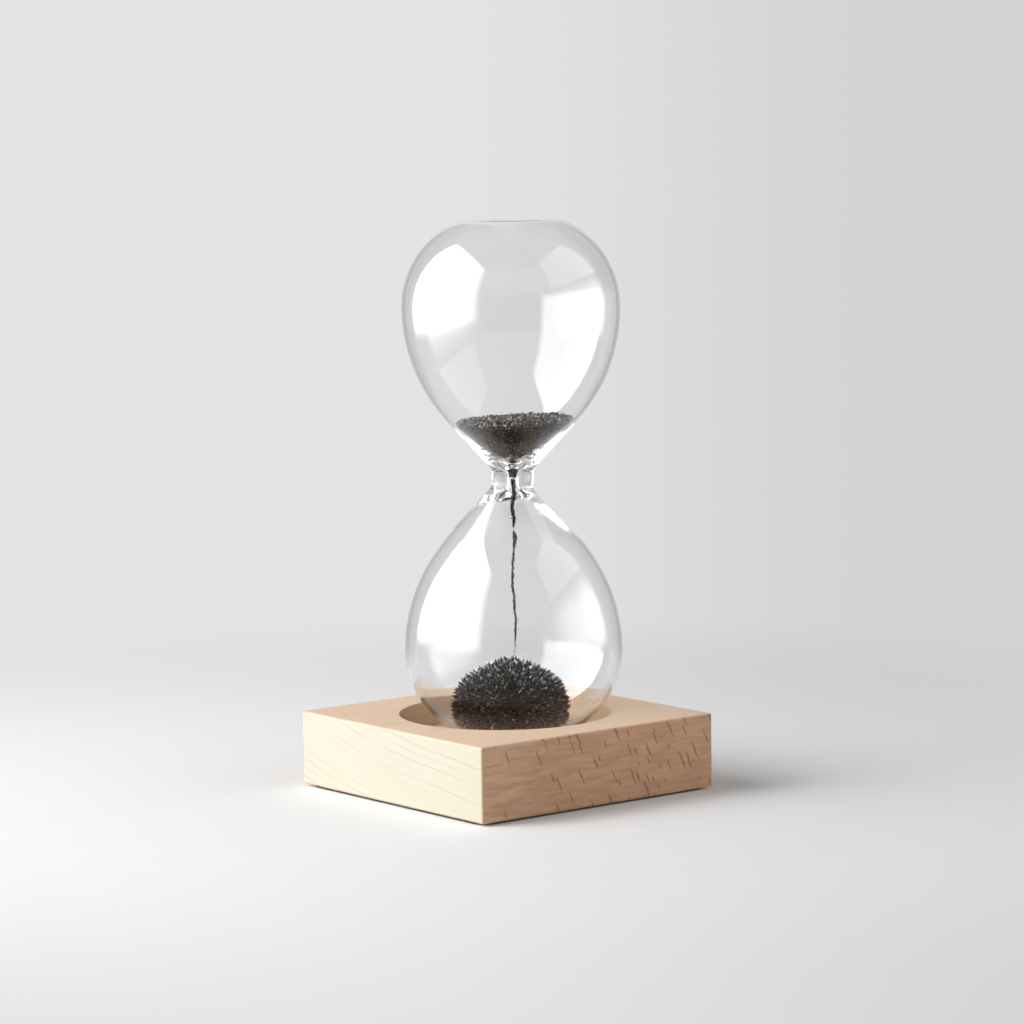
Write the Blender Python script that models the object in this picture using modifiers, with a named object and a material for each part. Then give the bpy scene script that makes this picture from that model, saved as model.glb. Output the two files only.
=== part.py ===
"""Magnetic hourglass: a blown glass with iron filings, standing in a wooden block that hides a magnet.

Lengths are in metres and +Z is up. The origin is under the middle of the base, on the surface it stands on.
The two bulbs are one teardrop outline, turned once upright and once upside down, and meet at the neck.
"""

import math
import random

import bmesh
import bpy
from mathutils import Vector, noise

# Gap that neighbouring solids keep
SEAT_GAP = 0.0003

# Wooden base and what it holds
BASE_SIDE = 0.0800
BASE_HEIGHT = 0.0203
BASE_EDGE_EASE = 0.0007
RECESS_DEPTH = 0.0065
RECESS_ROOM = 0.0062
RECESS_RIM_EASE = 0.0004
MAGNET_RADIUS = 0.0125
MAGNET_THICKNESS = 0.0050
MAGNET_EDGE_EASE = 0.0004
PAD_THICKNESS = 0.00035
PAD_INSET = 0.0012
PAD_CORNER = 0.0045

# Glass bulb: heights count from the middle of the neck to the bulb's far end
BULB_LENGTH = 0.0704
BULB_RADIUS = 0.0297
BULB_WIDEST_HEIGHT = 0.0468
BULB_WALL = 0.0010
BULB_CONE_ANGLE = math.radians(42.6)
BULB_END_RADIUS = 0.0136
BULB_END_CORNER = 0.0080
BULB_END_DISH = 0.0004
NECK_RADIUS = 0.00565
NECK_HALF_LENGTH = 0.0026
NECK_FILLET = 0.0034
BORE_RADIUS = 0.0012
BORE_HALF_LENGTH = 0.0006
CUP_RADIUS = 0.0048
CUP_HEIGHT = 0.0058
CUP_ANGLE = math.radians(60.0)
FUNNEL_BORE_HANDLE = 0.0034
FUNNEL_CUP_HANDLE = 0.0029
FUNNEL_CONE_HANDLE = 0.0055

# Where the glass stands in the recess: how much of the room round it is used up, and in which direction
GLASS_SHIFT_SHARE = 0.452
GLASS_SHIFT_DIRECTION = math.radians(-38.5)

# Iron filings
RESERVE_DEPTH = 0.0158
RESERVE_TILT = math.radians(3.0)
RESERVE_TILT_DIRECTION = GLASS_SHIFT_DIRECTION
RESERVE_HEAP = 0.0006
RESERVE_GRAIN = 0.0007
RESERVE_WALL_GAP = 0.0004
STREAM_TOP_RADIUS = 0.00070
STREAM_FOOT_RADIUS = 0.00030
STREAM_SWAY = 0.00045
STREAM_SWAY_ANGLES = (9.0, 14.0)
MOUND_HEIGHT = 0.0205
MOUND_SIDE_ROOM = 0.0003
MOUND_SKIRT_HEIGHT = 0.0022
MOUND_DRAW_SHARE = 0.38
MOUND_STEEPNESS = 2.5
MOUND_FOOT_TUCK = 0.20
NEEDLE_LENGTH = 0.0018
NEEDLE_SHORTEST_SHARE = 0.6

# How finely round shapes are divided
BULB_SEGMENTS = 36
BASE_SEGMENTS = 64
MAGNET_SEGMENTS = 48
FLANK_STEPS = 7
SHOULDER_STEPS = 6
CORNER_STEPS = 3
DISH_STEPS = 3
FUNNEL_STEPS = 4
RESERVE_RINGS = 7
STREAM_POINTS = 30
MOUND_SUBDIVISIONS = 4
PAD_CORNER_STEPS = 6
EASE_STEPS = 2
SMOOTH_ANGLE = math.radians(40.0)
MERGE_DISTANCE = 0.00001

# Derived places, from the surface up
base_bottom = PAD_THICKNESS + SEAT_GAP
base_top = base_bottom + BASE_HEIGHT
recess_floor = base_top - RECESS_DEPTH
glass_bottom = recess_floor + SEAT_GAP
neck_height = glass_bottom + BULB_LENGTH


def arc(centre_radius, centre_height, radius, start, end, steps):
    """Points (radius, height) along a circle, both ends included, with angles from the +radius direction."""
    points = []
    for i in range(steps + 1):
        angle = start + (end - start) * i / steps
        points.append((centre_radius + radius * math.cos(angle), centre_height + radius * math.sin(angle)))
    return points


def bezier(first, first_handle, last_handle, last, steps):
    """Points along a cubic curve, without its two ends."""
    points = []
    for i in range(1, steps):
        t = i / steps
        weights = ((1 - t) ** 3, 3 * t * (1 - t) ** 2, 3 * t**2 * (1 - t), t**3)
        corners = (first, first_handle, last_handle, last)
        points.append(tuple(sum(w * c[axis] for w, c in zip(weights, corners)) for axis in (0, 1)))
    return points


def along(point, angle, distance):
    """The point a distance away from another one, in a direction that leans outwards from +Z by an angle."""
    return (point[0] + distance * math.sin(angle), point[1] + distance * math.cos(angle))


def flank_radius():
    """Radius of the arc that leaves the widest ring upright and runs into the cone at the neck."""
    rise = (BULB_WIDEST_HEIGHT - NECK_HALF_LENGTH) * math.sin(BULB_CONE_ANGLE)
    reach = (BULB_RADIUS - NECK_RADIUS) * math.cos(BULB_CONE_ANGLE)
    return (rise - reach) / (1 - math.cos(BULB_CONE_ANGLE))


def shoulder_radius():
    """Radius of the arc from the widest ring to where the flat end would start if its corner were sharp."""
    rise = BULB_LENGTH - BULB_WIDEST_HEIGHT
    reach = BULB_RADIUS - BULB_END_RADIUS
    return (rise**2 + reach**2) / (2 * reach)


def body_outline(inset):
    """The bulb from the top of the neck's cone over the widest ring to the axis, moved inwards by inset."""
    flank = flank_radius()
    points = arc(BULB_RADIUS - flank, BULB_WIDEST_HEIGHT, flank - inset, -BULB_CONE_ANGLE, 0.0, FLANK_STEPS)
    shoulder = shoulder_radius()
    shoulder_centre = BULB_RADIUS - shoulder
    corner_height = BULB_LENGTH - BULB_END_CORNER
    corner_rise = corner_height - BULB_WIDEST_HEIGHT
    corner_centre = shoulder_centre + math.sqrt((shoulder - BULB_END_CORNER) ** 2 - corner_rise**2)
    corner_angle = math.atan2(corner_rise, corner_centre - shoulder_centre)
    points += arc(
        shoulder_centre, BULB_WIDEST_HEIGHT, shoulder - inset, 0.0, corner_angle, SHOULDER_STEPS
    )[1:]
    points += arc(
        corner_centre, corner_height, BULB_END_CORNER - inset, corner_angle, math.pi / 2, CORNER_STEPS
    )[1:]
    for i in range(1, DISH_STEPS + 1):
        share = 1 - i / DISH_STEPS
        dish = BULB_END_DISH * (1 + math.cos(math.pi * share)) / 2
        points.append((corner_centre * share, BULB_LENGTH - inset - dish))
    return points


def outer_outline():
    """Outside of a bulb, from the middle of the neck to the axis at the far end."""
    fillet_height = NECK_HALF_LENGTH - NECK_FILLET * math.tan(BULB_CONE_ANGLE / 2)
    fillet = arc(
        NECK_RADIUS + NECK_FILLET,
        fillet_height,
        NECK_FILLET,
        math.pi,
        math.pi - BULB_CONE_ANGLE,
        CORNER_STEPS,
    )
    return [(NECK_RADIUS, SEAT_GAP / 2)] + fillet + body_outline(0.0)


def inner_outline():
    """Inside of a bulb: the bore opens into a cup in the thick neck, then into the body one wall further in."""
    body = body_outline(BULB_WALL)
    bore_end = (BORE_RADIUS, BORE_HALF_LENGTH)
    cup = (CUP_RADIUS, CUP_HEIGHT)
    below_cup = along(bore_end, 0.0, FUNNEL_BORE_HANDLE), along(cup, CUP_ANGLE, -FUNNEL_CUP_HANDLE)
    above_cup = along(cup, CUP_ANGLE, FUNNEL_CUP_HANDLE), along(body[0], BULB_CONE_ANGLE, -FUNNEL_CONE_HANDLE)
    lower = bezier(bore_end, *below_cup, cup, FUNNEL_STEPS)
    upper = bezier(cup, *above_cup, body[0], FUNNEL_STEPS)
    return [(BORE_RADIUS, SEAT_GAP / 2), bore_end] + lower + [cup] + upper + body


def radius_at(outline, height):
    """Radius of an outline where it first passes a height, read along its straight pieces."""
    for (radius, low), (next_radius, high) in zip(outline, outline[1:]):
        if low <= height <= high:
            return radius + (next_radius - radius) * (height - low) / (high - low)
    return outline[-1][0]


# Places that follow from the glass's outline
bulb_outer = outer_outline()
bulb_inner = inner_outline()
recess_radius = radius_at(bulb_outer, BULB_LENGTH + SEAT_GAP - RECESS_DEPTH) + RECESS_ROOM
glass_shift = RECESS_ROOM * GLASS_SHIFT_SHARE
glass_x = glass_shift * math.cos(GLASS_SHIFT_DIRECTION)
glass_y = glass_shift * math.sin(GLASS_SHIFT_DIRECTION)


def clear_scene():
    for old in list(bpy.data.objects):
        bpy.data.objects.remove(old, do_unlink=True)


def new_collection(name):
    collection = bpy.data.collections.new(name)
    bpy.context.scene.collection.children.link(collection)
    return collection


def new_material(name, colour, roughness, metallic=0.0, transmission=0.0):
    material = bpy.data.materials.new(name)
    material.use_nodes = True
    shader = material.node_tree.nodes["Principled BSDF"]
    shader.inputs["Base Color"].default_value = (*colour, 1.0)
    shader.inputs["Roughness"].default_value = roughness
    shader.inputs["Metallic"].default_value = metallic
    shader.inputs["Transmission Weight"].default_value = transmission
    material.diffuse_color = (*colour, 1.0)
    return material


def place(name, data, collection, material=None, location=(0.0, 0.0, 0.0), parent=None):
    """Add an object made of a mesh or a curve to a collection, with its material and its parent."""
    piece = bpy.data.objects.new(name, data)
    piece.location = location
    piece.parent = parent
    collection.objects.link(piece)
    if material:
        data.materials.append(material)
    return piece


def take_mesh(piece):
    """The mesh that an object has after its modifiers; the object itself is removed."""
    bpy.context.view_layer.update()
    evaluated = piece.evaluated_get(bpy.context.evaluated_depsgraph_get())
    mesh = bpy.data.meshes.new_from_object(evaluated)
    bpy.data.objects.remove(piece, do_unlink=True)
    return mesh


def smooth(mesh):
    mesh.shade_smooth()
    mesh.set_sharp_from_angle(angle=SMOOTH_ANGLE)
    return mesh


def turned(name, profile, segments, collection):
    """Mesh of a profile (radius, height) turned about Z; its outer side runs from top to bottom."""
    outline = bpy.data.meshes.new(name)
    edges = [(i, i + 1) for i in range(len(profile) - 1)]
    outline.from_pydata([(radius, 0.0, height) for radius, height in profile], edges, [])
    blank = place(name + "_outline", outline, collection)
    screw = blank.modifiers.new("Turn", "SCREW")
    screw.axis = "Z"
    screw.steps = segments
    screw.render_steps = segments
    screw.use_merge_vertices = True
    screw.merge_threshold = MERGE_DISTANCE
    return smooth(take_mesh(blank))


def add_bevel(piece, width):
    bevel = piece.modifiers.new("Ease", "BEVEL")
    bevel.width = width
    bevel.segments = EASE_STEPS
    bevel.limit_method = "ANGLE"
    bevel.angle_limit = SMOOTH_ANGLE


def block_mesh(name, width, height):
    """A square block with its bottom face at height zero."""
    mesh = bpy.data.meshes.new(name)
    shape = bmesh.new()
    bmesh.ops.create_cube(shape, size=1.0)
    bmesh.ops.translate(shape, vec=(0.0, 0.0, 0.5), verts=shape.verts)
    bmesh.ops.scale(shape, vec=(width, width, height), verts=shape.verts)
    shape.to_mesh(mesh)
    shape.free()
    return mesh


def make_base(parts, cutters, material):
    """Wooden block, its edges eased, with the glass's recess and the magnet's pocket turned out of it."""
    base = place(
        "wooden_base",
        block_mesh("wooden_base", BASE_SIDE, BASE_HEIGHT),
        parts,
        material,
        (0.0, 0.0, base_bottom),
    )
    add_bevel(base, BASE_EDGE_EASE)
    pocket_radius = MAGNET_RADIUS + SEAT_GAP
    pocket_floor = recess_floor - MAGNET_THICKNESS - 2 * SEAT_GAP
    above = base_top + RECESS_DEPTH
    profile = [
        (0.0, above),
        (recess_radius + RECESS_RIM_EASE, above),
        (recess_radius + RECESS_RIM_EASE, base_top),
        (recess_radius, base_top - RECESS_RIM_EASE),
        (recess_radius, recess_floor),
        (pocket_radius, recess_floor),
        (pocket_radius, pocket_floor),
        (0.0, pocket_floor),
    ]
    cutter = place("recess_cutter", turned("recess_cutter", profile, BASE_SEGMENTS, cutters), cutters)
    cutter.hide_render = True
    cutter.display_type = "WIRE"
    cut = base.modifiers.new("Recess", "BOOLEAN")
    cut.operation = "DIFFERENCE"
    cut.solver = "EXACT"
    cut.object = cutter
    return base


def make_magnet(parts, material):
    """Disc magnet in its pocket, its face just under the floor of the recess."""
    mesh = bpy.data.meshes.new("base_magnet")
    shape = bmesh.new()
    bmesh.ops.create_cone(
        shape,
        cap_ends=True,
        segments=MAGNET_SEGMENTS,
        radius1=MAGNET_RADIUS,
        radius2=MAGNET_RADIUS,
        depth=MAGNET_THICKNESS,
    )
    shape.to_mesh(mesh)
    shape.free()
    centre_height = recess_floor - SEAT_GAP - MAGNET_THICKNESS / 2
    magnet = place("base_magnet", smooth(mesh), parts, material, (0.0, 0.0, centre_height))
    add_bevel(magnet, MAGNET_EDGE_EASE)
    return magnet


def make_pad(parts, material):
    """Thin sheet with round corners under the block, which the whole object stands on."""
    mesh = block_mesh("base_pad", BASE_SIDE - 2 * PAD_INSET, PAD_THICKNESS)
    shape = bmesh.new()
    shape.from_mesh(mesh)
    upright = [e for e in shape.edges if abs(e.verts[0].co.z - e.verts[1].co.z) > PAD_THICKNESS / 2]
    bmesh.ops.bevel(
        shape, geom=upright, offset=PAD_CORNER, segments=PAD_CORNER_STEPS, profile=0.5, affect="EDGES"
    )
    shape.to_mesh(mesh)
    shape.free()
    return place("base_pad", mesh, parts, material)


def make_bulbs(parts, material, glass):
    """Both halves of the glass: the same shell upright and upside down, open to each other at the bore."""
    profile = bulb_outer[::-1] + bulb_inner
    upside_down = [(radius, -height) for radius, height in profile[::-1]]
    for name, outline in (("upper_bulb", profile), ("lower_bulb", upside_down)):
        place(name, turned(name, outline, BULB_SEGMENTS, parts), parts, material, parent=glass)


def make_reserve(parts, material, glass):
    """Filings left in the upper bulb: a plug that fills the funnel, with a rough and slightly tilted top."""
    wall = [(radius - RESERVE_WALL_GAP, height) for radius, height in bulb_inner]
    rim_radius = radius_at(wall, RESERVE_DEPTH)
    top = [(rim_radius * i / RESERVE_RINGS, RESERVE_DEPTH) for i in range(RESERVE_RINGS + 1)]
    side = [point for point in wall if SEAT_GAP < point[1] < RESERVE_DEPTH - RESERVE_GRAIN]
    foot = [(radius_at(wall, SEAT_GAP), SEAT_GAP), (0.0, SEAT_GAP)]
    mesh = turned("filings_reserve", top + side[::-1] + foot, BULB_SEGMENTS, parts)
    lean = Vector((math.cos(RESERVE_TILT_DIRECTION), math.sin(RESERVE_TILT_DIRECTION), 0.0))
    for vertex in mesh.vertices:
        spot = vertex.co.copy()
        tilted = spot.z * (1 + math.tan(RESERVE_TILT) * spot.dot(lean) / RESERVE_DEPTH)
        out = math.hypot(spot.x, spot.y)
        if out > MERGE_DISTANCE:
            widen = radius_at(wall, tilted) / radius_at(wall, spot.z)
            vertex.co.x *= widen
            vertex.co.y *= widen
        vertex.co.z = tilted
        if spot.z > RESERVE_DEPTH - MERGE_DISTANCE and out < rim_radius - RESERVE_GRAIN:
            heap = RESERVE_HEAP * (1 - (out / rim_radius) ** 2)
            vertex.co.z += heap + RESERVE_GRAIN * noise.noise(spot / RESERVE_GRAIN)
    return place("filings_reserve", mesh, parts, material, parent=glass)


def mound_place():
    """Centre of the mound against the glass's axis, and its radius: the magnet draws it off centre."""
    draw = glass_shift * MOUND_DRAW_SHARE
    centre = Vector((math.cos(GLASS_SHIFT_DIRECTION), math.sin(GLASS_SHIFT_DIRECTION), 0.0)) * -draw
    skirt = BULB_LENGTH - BULB_WALL - MOUND_SKIRT_HEIGHT
    above_neck = [point for point in bulb_inner if point[1] >= BULB_WIDEST_HEIGHT]
    return centre, radius_at(above_neck, skirt) - draw - MOUND_SIDE_ROOM


def dome_point(direction, radius, height):
    """A point on the mound for a direction from its foot's centre: steep sides, tucked foot, round top."""
    rise = direction.z
    out = radius * math.sqrt(max(0.0, 1 - rise**MOUND_STEEPNESS)) * (1 - MOUND_FOOT_TUCK * (1 - rise) ** 12)
    flat = Vector((direction.x, direction.y, 0.0))
    if flat.length > MERGE_DISTANCE:
        flat.normalize()
    return flat * out + Vector((0.0, 0.0, height * rise))


def make_mound(parts, material, glass):
    """Filings on the lower bulb's floor: a dome whose every face is pulled out into a needle."""
    centre, radius = mound_place()
    chance = random.Random(7)
    shape = bmesh.new()
    bmesh.ops.create_icosphere(shape, subdivisions=MOUND_SUBDIVISIONS, radius=1.0)
    below = [face for face in shape.faces if face.calc_center_median().z < 0]
    bmesh.ops.delete(shape, geom=below, context="FACES")
    rim = [edge for edge in shape.edges if edge.is_boundary]
    for vertex in shape.verts:
        direction = Vector((vertex.co.x, vertex.co.y, max(0.0, vertex.co.z)))
        vertex.co = dome_point(direction, radius - NEEDLE_LENGTH, MOUND_HEIGHT - NEEDLE_LENGTH)
    needles = bmesh.ops.poke(shape, faces=shape.faces[:])["verts"]
    shape.normal_update()
    for tip in needles:
        away = tip.normal.copy()
        away.z = max(away.z, 0.0)
        tip.co += away.normalized() * NEEDLE_LENGTH * chance.uniform(NEEDLE_SHORTEST_SHARE, 1.0)
    bmesh.ops.contextual_create(shape, geom=rim)
    bmesh.ops.recalc_face_normals(shape, faces=shape.faces)
    mesh = bpy.data.meshes.new("filings_mound")
    shape.to_mesh(mesh)
    shape.free()
    floor = -BULB_LENGTH + BULB_WALL + BULB_END_DISH + SEAT_GAP
    return place("filings_mound", mesh, parts, material, (centre.x, centre.y, floor), glass)


def make_stream(parts, material, glass):
    """The falling thread of filings, from the bore to the top of the mound, swaying and thinning."""
    foot = -BULB_LENGTH + BULB_WALL + BULB_END_DISH + MOUND_HEIGHT + 2 * SEAT_GAP
    thread = bpy.data.curves.new("filings_stream", "CURVE")
    thread.dimensions = "3D"
    thread.bevel_depth = STREAM_TOP_RADIUS
    thread.bevel_resolution = 1
    thread.use_fill_caps = True
    spline = thread.splines.new("POLY")
    spline.points.add(STREAM_POINTS - 1)
    for i, point in enumerate(spline.points):
        fall = i / (STREAM_POINTS - 1)
        sway = STREAM_SWAY * math.sin(math.pi / 2 * min(1.0, 4 * fall))
        aside, across = (sway * math.sin(angle * fall) for angle in STREAM_SWAY_ANGLES)
        point.co = (aside, across, foot * fall, 1.0)
        point.radius = 1 + (STREAM_FOOT_RADIUS / STREAM_TOP_RADIUS - 1) * fall
    return place("filings_stream", thread, parts, material, parent=glass)


def build():
    clear_scene()
    parts = new_collection("magnetic_hourglass")
    cutters = new_collection("cutters")
    beech = new_material("beech", (0.71, 0.52, 0.37), 0.55)
    nickel = new_material("nickel", (0.60, 0.59, 0.57), 0.25, metallic=1.0)
    rubber = new_material("rubber", (0.03, 0.03, 0.03), 0.90)
    clear_glass = new_material("clear_glass", (0.95, 0.97, 0.97), 0.02, transmission=1.0)
    iron = new_material("iron_filings", (0.06, 0.055, 0.05), 0.55, metallic=0.7)
    make_base(parts, cutters, beech)
    make_magnet(parts, nickel)
    make_pad(parts, rubber)
    glass = place("glass_lift", None, parts, location=(glass_x, glass_y, neck_height))
    make_bulbs(parts, clear_glass, glass)
    make_reserve(parts, iron, glass)
    make_stream(parts, iron, glass)
    make_mound(parts, iron, glass)


build()
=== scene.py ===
import math
import random

import bmesh
import bpy
from mathutils import Matrix, Vector, noise


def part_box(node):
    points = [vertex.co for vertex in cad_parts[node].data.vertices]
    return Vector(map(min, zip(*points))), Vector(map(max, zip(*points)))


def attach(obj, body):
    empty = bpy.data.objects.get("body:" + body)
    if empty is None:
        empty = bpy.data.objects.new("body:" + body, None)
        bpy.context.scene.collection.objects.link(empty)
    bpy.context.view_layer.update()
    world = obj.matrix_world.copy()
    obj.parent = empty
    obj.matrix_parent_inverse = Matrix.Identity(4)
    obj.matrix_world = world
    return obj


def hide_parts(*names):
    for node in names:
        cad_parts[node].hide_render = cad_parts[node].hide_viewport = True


# Looks of the magnetic hourglass. Lengths are in metres and +Z is up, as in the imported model.

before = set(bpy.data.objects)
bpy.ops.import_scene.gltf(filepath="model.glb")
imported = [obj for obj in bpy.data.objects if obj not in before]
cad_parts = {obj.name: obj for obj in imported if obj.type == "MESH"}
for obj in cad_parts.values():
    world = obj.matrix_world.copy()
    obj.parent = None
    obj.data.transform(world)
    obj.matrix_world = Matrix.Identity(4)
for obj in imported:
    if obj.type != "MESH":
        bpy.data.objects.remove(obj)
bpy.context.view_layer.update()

MM = 0.001
TAU = 2 * math.pi

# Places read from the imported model
BASE_LOW, BASE_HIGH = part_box("wooden_base")
UPPER_LOW, UPPER_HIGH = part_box("upper_bulb")
LOWER_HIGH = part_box("lower_bulb")[1]
MAGNET_LOW, MAGNET_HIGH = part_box("base_magnet")
MOUND_LOW, MOUND_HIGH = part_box("filings_mound")
NECK = Vector((
    (UPPER_LOW.x + UPPER_HIGH.x) / 2,
    (UPPER_LOW.y + UPPER_HIGH.y) / 2,
    (UPPER_LOW.z + LOWER_HIGH.z) / 2,
))
SEAT_GAP = 0.3 * MM

# Glass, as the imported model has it: heights count from the neck to the bulb's far end. Only the cup inside
# the neck is 0.8 mm wider, so that the filings fill the thick neck as widely as in the photograph.
BULB_LENGTH = UPPER_HIGH.z - NECK.z
BULB_RADIUS = 29.7 * MM
WIDEST_HEIGHT = 46.8 * MM
WALL = 1.0 * MM
CONE_ANGLE = math.radians(42.6)
END_RADIUS = 13.6 * MM
END_CORNER = 8.0 * MM
END_DISH = 0.4 * MM
NECK_RADIUS = 5.65 * MM
NECK_HALF_LENGTH = 2.6 * MM
NECK_FILLET = 3.4 * MM
BORE_RADIUS = 1.2 * MM
BORE_HALF_LENGTH = 0.6 * MM
CUP_RADIUS = 5.6 * MM
CUP_HEIGHT = 5.8 * MM
CUP_ANGLE = math.radians(60.0)
BORE_HANDLE = 3.4 * MM
CUP_HANDLE = 2.9 * MM
CONE_HANDLE = 5.5 * MM
GLASS_SEGMENTS = 192
FILLET_STEPS = 12
FLANK_STEPS = 40
SHOULDER_STEPS = 24
CORNER_STEPS = 12
DISH_STEPS = 16
BORE_STEPS = 14
CUP_STEPS = 16

# Recess and magnet pocket of the block
EDGE_EASE = 0.7 * MM
EDGE_STEPS = 4
RIM_EASE = 0.4 * MM
RIM_STEPS = 4
CORNER_EASE_STEPS = 3
RECESS_DEPTH = 6.5 * MM
RECESS_RADIUS = 28.95 * MM
RECESS_SEGMENTS = 192
SHARP_ANGLE = math.radians(40.0)

# Photograph's camera: its place, how far it is turned about +Z, tipped down and rolled, in radians, and its
# lens and sensor in millimetres
CAMERA_PLACE = Vector((-0.65124, -0.81837, 0.19714))
CAMERA_AZIMUTH = -0.6744848
CAMERA_PITCH = 0.1153381
CAMERA_ROLL = 0.0131185
CAMERA_LENS = 136.0
CAMERA_NEAR_END = 0.05
SENSOR = 36.0


def feed(tree, socket, value):
    """Sets an input to another node's output, a colour or a plain value."""
    if isinstance(value, bpy.types.NodeSocket):
        tree.links.new(value, socket)
    elif socket.type == "RGBA":
        socket.default_value = (*value, 1.0)
    else:
        socket.default_value = value


def add(tree, kind, inputs=None, **settings):
    """A new node with these settings and inputs."""
    node = tree.nodes.new(kind)
    for key, value in settings.items():
        setattr(node, key, value)
    for key, value in (inputs or {}).items():
        feed(tree, node.inputs[key], value)
    return node


def material(name):
    """A new material, its nodes, its shader and the place on the object that is being shaded."""
    made = bpy.data.materials.new(name)
    made.use_nodes = True
    tree = made.node_tree
    place = add(tree, "ShaderNodeTexCoord").outputs["Object"]
    return made, tree, tree.nodes["Principled BSDF"], place


def maths(tree, operation, first, second=0.0, third=0.0):
    return add(tree, "ShaderNodeMath", {0: first, 1: second, 2: third}, operation=operation).outputs[0]


def times(tree, first, second):
    return maths(tree, "MULTIPLY", first, second)


def rest_of(tree, share):
    return maths(tree, "SUBTRACT", 1.0, share)


def vector_maths(tree, operation, first, second=(0.0, 0.0, 0.0)):
    made = add(tree, "ShaderNodeVectorMath", {0: first, 1: second}, operation=operation)
    return made.outputs["Value" if operation in ("DOT_PRODUCT", "LENGTH") else 0]


def step(tree, value, low, high, to_low=0.0, to_high=1.0):
    """Smooth rise from to_low to to_high while value goes from low to high."""
    made = add(
        tree,
        "ShaderNodeMapRange",
        {"Value": value, "From Min": low, "From Max": high, "To Min": to_low, "To Max": to_high},
        interpolation_type="SMOOTHSTEP",
    )
    return made.outputs[0]


def blend(tree, share, first, second, kind="MIX"):
    """Mix of two colours."""
    made = add(tree, "ShaderNodeMix", {0: share, 6: first, 7: second}, data_type="RGBA", blend_type=kind)
    return made.outputs[2]


def noise_at(tree, place, scale, detail=2.0, rough=0.5):
    inputs = {"Vector": place, "Scale": scale, "Detail": detail, "Roughness": rough}
    return add(tree, "ShaderNodeTexNoise", inputs).outputs[0]


def parts_of(tree, vector):
    """The three parts of a vector."""
    return add(tree, "ShaderNodeSeparateXYZ", {0: vector}).outputs


def vector_of(tree, x, y, z=0.0):
    return add(tree, "ShaderNodeCombineXYZ", {0: x, 1: y, 2: z}).outputs[0]


def grey(tree, value):
    return vector_of(tree, value, value, value)


def mix_number(tree, share, first, second):
    """first where share is 0, second where it is 1."""
    return maths(tree, "ADD", first, times(tree, share, maths(tree, "SUBTRACT", second, first)))


def stretched(tree, place, scale, turn=(0.0, 0.0, 0.0)):
    """Coordinates turned and then scaled by a different amount along each axis."""
    turned_place = add(tree, "ShaderNodeMapping", {"Vector": place, "Rotation": turn}).outputs[0]
    return add(tree, "ShaderNodeMapping", {"Vector": turned_place, "Scale": scale}).outputs[0]


def set_inputs(shader, tree, **values):
    """Sets a shader's inputs by name, with spaces written as underscores."""
    for key, value in values.items():
        feed(tree, shader.inputs[key.replace("_", " ")], value)


def bump(tree, shader, height, strength, distance):
    made = add(tree, "ShaderNodeBump", {"Height": height, "Strength": strength, "Distance": distance})
    set_inputs(shader, tree, Normal=made.outputs[0])


# Beech: growth rings about a line along X far above the block
RING_CENTRE = (0.0, -0.065, 0.390)
RING_WIDTH = 2.3 * MM
OUTER_FACE = 39.2 * MM
FLECK_LEAN = math.radians(24.6)
FLECK_ROOM = (2.8 * MM, 5.2 * MM)
FLECK_HALF_LENGTH = (0.8 * MM, 3.3 * MM)
FLECK_HALF_WIDTH = (0.20 * MM, 0.44 * MM)
FLECK_WANDER = 0.9 * MM
CELLS_LEFT_BARE = (0.90, 0.34)

# Colours of the beech: a pair is the darker and the paler shade between which it clouds. The ends and the
# sides hold painted light and painted shade: the ends are a greyer, lit copy of the wood, the sides a darker,
# redder copy in shade, and the recess wall and the eased edges are painted too
FLAT_COLOURS = ((0.735, 0.530, 0.378), (0.810, 0.605, 0.445))
LIT_WALL_COLOURS = ((0.900, 0.630, 0.400), (0.950, 0.700, 0.460))
LIT_END_COLOURS = ((0.604, 0.570, 0.458), (0.632, 0.606, 0.505))
END_LESS_LIT_NEAR_FRONT = (0.628, 0.562, 0.446)
FAR_END = (0.690, 0.540, 0.395)
DARKENED_SIDE_COLOURS = ((0.505, 0.282, 0.156), (0.612, 0.358, 0.212))
SIDE_LIT_NEAR_LEFT = (0.620, 0.405, 0.262)
SIDE_STREAK = (0.415, 0.232, 0.130)
EDGE_SHADE_COLOUR = (0.720, 0.480, 0.310)
RING_COLOUR = (0.400, 0.270, 0.160)
FLECK_COLOUR = (0.250, 0.116, 0.060)


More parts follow.
